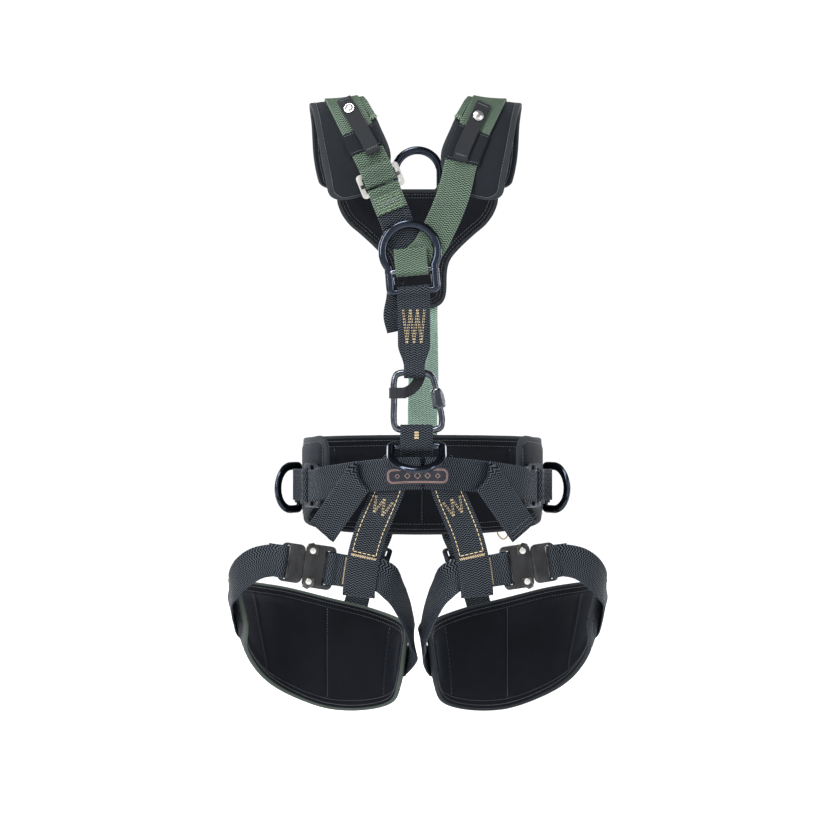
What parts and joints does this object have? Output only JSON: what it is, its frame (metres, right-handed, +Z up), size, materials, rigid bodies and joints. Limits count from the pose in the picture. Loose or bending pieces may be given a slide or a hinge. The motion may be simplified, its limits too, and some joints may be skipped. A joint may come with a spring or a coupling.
{
  "type": "tree climbing saddle",
  "caption": "Full-body climbing harness: padded shoulder yoke with dorsal and chest rings, screw link, padded waist belt with side rings, and padded leg loops with quick-release buckles.",
  "frame": {"origin": "centre of the dorsal ring's bar, between the shoulder blades", "axes": "+Z up, -Y the wearer's front, +X the wearer's left"},
  "size_m": [0.5456, 0.3175, 0.8908],
  "materials": {
    "webbing_black": "woven",
    "webbing_green": "woven",
    "webbing_mint": "woven",
    "pad_cover": "woven",
    "anodised_black": "anodised satin",
    "dark_steel": "dark plated",
    "bright_steel": "polished",
    "latch_gold": "anodised",
    "label_fabric": "woven",
    "gear_cord": "braided"
  },
  "bodies": {
    "harness": {"yoke_pad": "pad_cover", "shoulder_pad_left": "pad_cover", "shoulder_pad_right": "pad_cover", "shoulder_web_left": "webbing_green", "shoulder_web_right": "webbing_green", "dorsal_ring_tab": "webbing_black", "shoulder_adjuster_frame": "bright_steel", "chest_tab": "webbing_green", "chest_web_left": "webbing_black", "chest_link_strap": "webbing_black", "chest_tail": "webbing_black", "quick_link": "dark_steel", "quick_link_keeper": "webbing_black", "ventral_web_loop": "webbing_black", "back_strap": "webbing_mint", "waist_pad": "pad_cover", "waist_web_back": "webbing_black", "waist_web_left": "webbing_black", "waist_web_right": "webbing_black", "waist_adjuster_frame_left": "bright_steel", "waist_adjuster_frame_right": "bright_steel", "side_ring_tab_left": "webbing_black", "side_ring_tab_right": "webbing_black", "label_patch": "label_fabric", "front_riser_left": "webbing_black", "front_riser_right": "webbing_black", "rear_riser_left": "webbing_black", "rear_riser_right": "webbing_black", "rear_riser_buckle_left": "dark_steel", "rear_riser_buckle_right": "dark_steel", "tool_loop_left": "gear_cord", "tool_loop_right": "gear_cord"},
    "dorsal_ring": {"dorsal_d_ring": "anodised_black"},
    "sternal_ring": {"sternal_d_ring": "anodised_black"},
    "ventral_ring": {"ventral_d_ring": "anodised_black"},
    "side_ring_left": {"side_d_ring_left": "anodised_black"},
    "side_ring_right": {"side_d_ring_right": "anodised_black"},
    "link_sleeve": {"quick_link_sleeve": "dark_steel"},
    "shoulder_bar": {"shoulder_adjuster_bar": "anodised_black"},
    "waist_bar_left": {"waist_adjuster_bar_left": "anodised_black"},
    "waist_bar_right": {"waist_adjuster_bar_right": "anodised_black"},
    "leg_loop_left": {"leg_pad_left": "pad_cover", "leg_web_outer_left": "webbing_black", "leg_web_inner_left": "webbing_black", "buckle_body_left": "anodised_black"},
    "tongue_left": {"buckle_tongue_left": "anodised_black"},
    "latch_upper_left": {"buckle_latch_upper_left": "latch_gold"},
    "latch_lower_left": {"buckle_latch_lower_left": "latch_gold"},
    "keeper_left": {"lanyard_keeper_left": "webbing_black", "snap_cap_left": "bright_steel"},
    "leg_loop_right": {"leg_pad_right": "pad_cover", "leg_web_outer_right": "webbing_black", "leg_web_inner_right": "webbing_black", "buckle_body_right": "anodised_black"},
    "tongue_right": {"buckle_tongue_right": "anodised_black"},
    "latch_upper_right": {"buckle_latch_upper_right": "latch_gold"},
    "latch_lower_right": {"buckle_latch_lower_right": "latch_gold"},
    "keeper_right": {"lanyard_keeper_right": "webbing_black", "snap_cap_right": "bright_steel"}
  },
  "joints": [
    {"name": "dorsal_ring_pivot", "type": "hinge", "parent": "harness", "child": "dorsal_ring", "pos_m": [0, 0, 0], "axis": [1, 0, 0], "range_deg": [-100, 10]},
    {"name": "sternal_ring_pivot", "type": "hinge", "parent": "harness", "child": "sternal_ring", "pos_m": [-0.0085, -0.172, -0.1231], "axis": [0.996, 0, 0.0896], "range_deg": [0, 12], "deforming": ["chest_link_strap"]},
    {"name": "ventral_ring_pivot", "type": "hinge", "parent": "harness", "child": "ventral_ring", "pos_m": [-0.002, -0.172, -0.364], "axis": [1, 0, 0], "range_deg": [-60, 25]},
    {"name": "side_ring_pivot_left", "type": "hinge", "parent": "harness", "child": "side_ring_left", "pos_m": [-0.17293, -0.00612, -0.4285], "axis": [0, 0, -1], "range_deg": [0, 110]},
    {"name": "side_ring_pivot_right", "type": "hinge", "parent": "harness", "child": "side_ring_right", "pos_m": [0.18693, -0.00612, -0.4285], "axis": [0, 0, 1], "range_deg": [0, 110]},
    {"name": "link_sleeve_travel", "type": "slide", "parent": "harness", "child": "link_sleeve", "axis": [-0.2034, 0, 0.9791], "range_m": [-0.01, 0.002]},
    {"name": "shoulder_adjuster_slide", "type": "slide", "parent": "harness", "child": "shoulder_bar", "axis": [0.3692, 0.0499, -0.928], "range_m": [-0.005, 0.004], "deforming": ["shoulder_web_left"]},
    {"name": "waist_adjuster_slide_left", "type": "slide", "parent": "harness", "child": "waist_bar_left", "axis": [-0.6158, 0.7879, 0], "range_m": [-0.005, 0.004], "deforming": ["waist_web_left"]},
    {"name": "waist_adjuster_slide_right", "type": "slide", "parent": "harness", "child": "waist_bar_right", "axis": [0.6158, 0.7879, 0], "range_m": [-0.005, 0.004], "deforming": ["waist_web_right"]},
    {"name": "leg_loop_swing_left", "type": "hinge", "parent": "harness", "child": "leg_loop_left", "pos_m": [-0.082, -0.16, -0.5675], "axis": [1, 0, 0], "range_deg": [-14, 8], "deforming": ["front_riser_left", "rear_riser_left"]},
    {"name": "buckle_tongue_slide_left", "type": "slide", "parent": "leg_loop_left", "child": "tongue_left", "axis": [-0.9889, 0, 0.1483], "range_m": [0, 0.022], "deforming": ["leg_web_outer_left"]},
    {"name": "latch_upper_left", "type": "hinge", "parent": "leg_loop_left", "child": "latch_upper_left", "pos_m": [-0.14483, -0.158, -0.51004], "axis": [0, 1, 0], "range_deg": [0, 12], "stiffness_Nm_per_rad": 0.02},
    {"name": "latch_lower_left", "type": "hinge", "parent": "leg_loop_left", "child": "latch_lower_left", "pos_m": [-0.15121, -0.158, -0.55256], "axis": [0, -1, 0], "range_deg": [0, 12], "stiffness_Nm_per_rad": 0.02},
    {"name": "leg_loop_swing_right", "type": "hinge", "parent": "harness", "child": "leg_loop_right", "pos_m": [0.082, -0.16, -0.5675], "axis": [1, 0, 0], "range_deg": [-14, 8], "deforming": ["front_riser_right", "rear_riser_right"]},
    {"name": "buckle_tongue_slide_right", "type": "slide", "parent": "leg_loop_right", "child": "tongue_right", "axis": [0.9889, 0, 0.1483], "range_m": [0, 0.022], "deforming": ["leg_web_outer_right"]},
    {"name": "latch_upper_right", "type": "hinge", "parent": "leg_loop_right", "child": "latch_upper_right", "pos_m": [0.14483, -0.158, -0.51004], "axis": [0, -1, 0], "range_deg": [0, 12], "stiffness_Nm_per_rad": 0.02},
    {"name": "latch_lower_right", "type": "hinge", "parent": "leg_loop_right", "child": "latch_lower_right", "pos_m": [0.15121, -0.158, -0.55256], "axis": [0, 1, 0], "range_deg": [0, 12], "stiffness_Nm_per_rad": 0.02},
    {"name": "keeper_flap_left", "type": "hinge", "parent": "harness", "child": "keeper_left", "pos_m": [-0.0605, -0.1704, 0.0395], "axis": [0.8991, 0.101, 0.426], "range_deg": [0, 80]},
    {"name": "keeper_flap_right", "type": "hinge", "parent": "harness", "child": "keeper_right", "pos_m": [0.0576, -0.1686, 0.0294], "axis": [0.9548, 0.078, -0.2869], "range_deg": [0, 80]}
  ]
}
